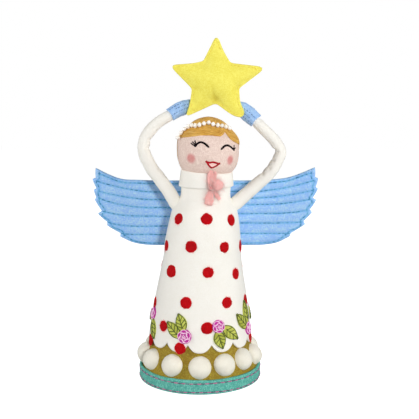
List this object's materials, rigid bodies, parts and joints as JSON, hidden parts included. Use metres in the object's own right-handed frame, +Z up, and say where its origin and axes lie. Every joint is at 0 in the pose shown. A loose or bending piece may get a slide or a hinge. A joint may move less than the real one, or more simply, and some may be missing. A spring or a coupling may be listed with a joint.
{
  "type": "angel tree topper",
  "caption": "Felt angel tree topper: hollow bell dress with scalloped hem and balls, wired arms holding a stuffed star overhead, quilted wings on the back.",
  "frame": {"origin": "centre of the hem ring, on the surface that the figure stands on", "axes": "+Z up, the face towards -Y, +X to the viewer's right"},
  "size_m": [0.2244, 0.1219, 0.3312],
  "materials": {
    "white_felt": "soft matt wool felt",
    "olive_felt": "matt wool felt",
    "teal_felt": "matt wool felt",
    "ball_felt": "rolled wool felt",
    "skin_felt": "smooth wool felt",
    "hair_felt": "combed wool felt",
    "pearl": "pearl lustre",
    "pink_wool": "fuzzy roving",
    "wire": "plain drawn wire",
    "sky_felt": "quilted wool felt",
    "star_felt": "matt wool felt",
    "filling": "loose wool",
    "leaf_felt": "matt wool felt",
    "rose_felt": "rolled wool felt"
  },
  "bodies": {
    "figure": {"dress": "white_felt", "underskirt": "olive_felt", "hem_band": "teal_felt", "pompom_01": "ball_felt", "pompom_02": "ball_felt", "pompom_03": "ball_felt", "pompom_04": "ball_felt", "pompom_05": "ball_felt", "pompom_06": "ball_felt", "pompom_07": "ball_felt", "pompom_08": "ball_felt", "pompom_09": "ball_felt", "pompom_10": "ball_felt", "pompom_11": "ball_felt", "pompom_12": "ball_felt", "collar": "white_felt", "head": "skin_felt", "hair_cap": "hair_felt", "pearl_string": "pearl", "bow": "pink_wool", "rose_1": "rose_felt", "rose_2": "rose_felt", "rose_3": "rose_felt", "rose_4": "rose_felt", "rose_5": "rose_felt", "rose_6": "rose_felt", "rose_7": "rose_felt", "rose_8": "rose_felt", "leaf_1a": "leaf_felt", "leaf_1b": "leaf_felt", "leaf_2a": "leaf_felt", "leaf_2b": "leaf_felt", "leaf_3a": "leaf_felt", "leaf_3b": "leaf_felt", "leaf_4a": "leaf_felt", "leaf_4b": "leaf_felt", "leaf_5a": "leaf_felt", "leaf_5b": "leaf_felt", "leaf_6a": "leaf_felt", "leaf_6b": "leaf_felt", "leaf_7a": "leaf_felt", "leaf_7b": "leaf_felt", "leaf_8a": "leaf_felt", "leaf_8b": "leaf_felt"},
    "arms": {"arm_wire": "wire", "left_sleeve": "white_felt", "right_sleeve": "white_felt", "left_mitt": "sky_felt", "right_mitt": "sky_felt", "star_front": "star_felt", "star_back": "star_felt", "star_filling": "filling"},
    "left_wing": {"left_wing_front": "sky_felt", "left_wing_back": "sky_felt"},
    "right_wing": {"right_wing_front": "sky_felt", "right_wing_back": "sky_felt"}
  },
  "joints": [
    {"name": "arms_swing", "type": "hinge", "parent": "figure", "child": "arms", "pos_m": [0.0051, 0, 0.1715], "axis": [1, 0, 0], "range_deg": [-20, 35]},
    {"name": "left_wing_fold", "type": "hinge", "parent": "figure", "child": "left_wing", "pos_m": [-0.00177, 0.03957, 0.1228], "axis": [0, 0.1653, -0.9862], "range_deg": [-10, 30], "stiffness_Nm_per_rad": 0.1},
    {"name": "right_wing_fold", "type": "hinge", "parent": "figure", "child": "right_wing", "pos_m": [0.01023, 0.03957, 0.1228], "axis": [0, -0.1653, 0.9862], "range_deg": [-10, 30], "stiffness_Nm_per_rad": 0.1}
  ]
}
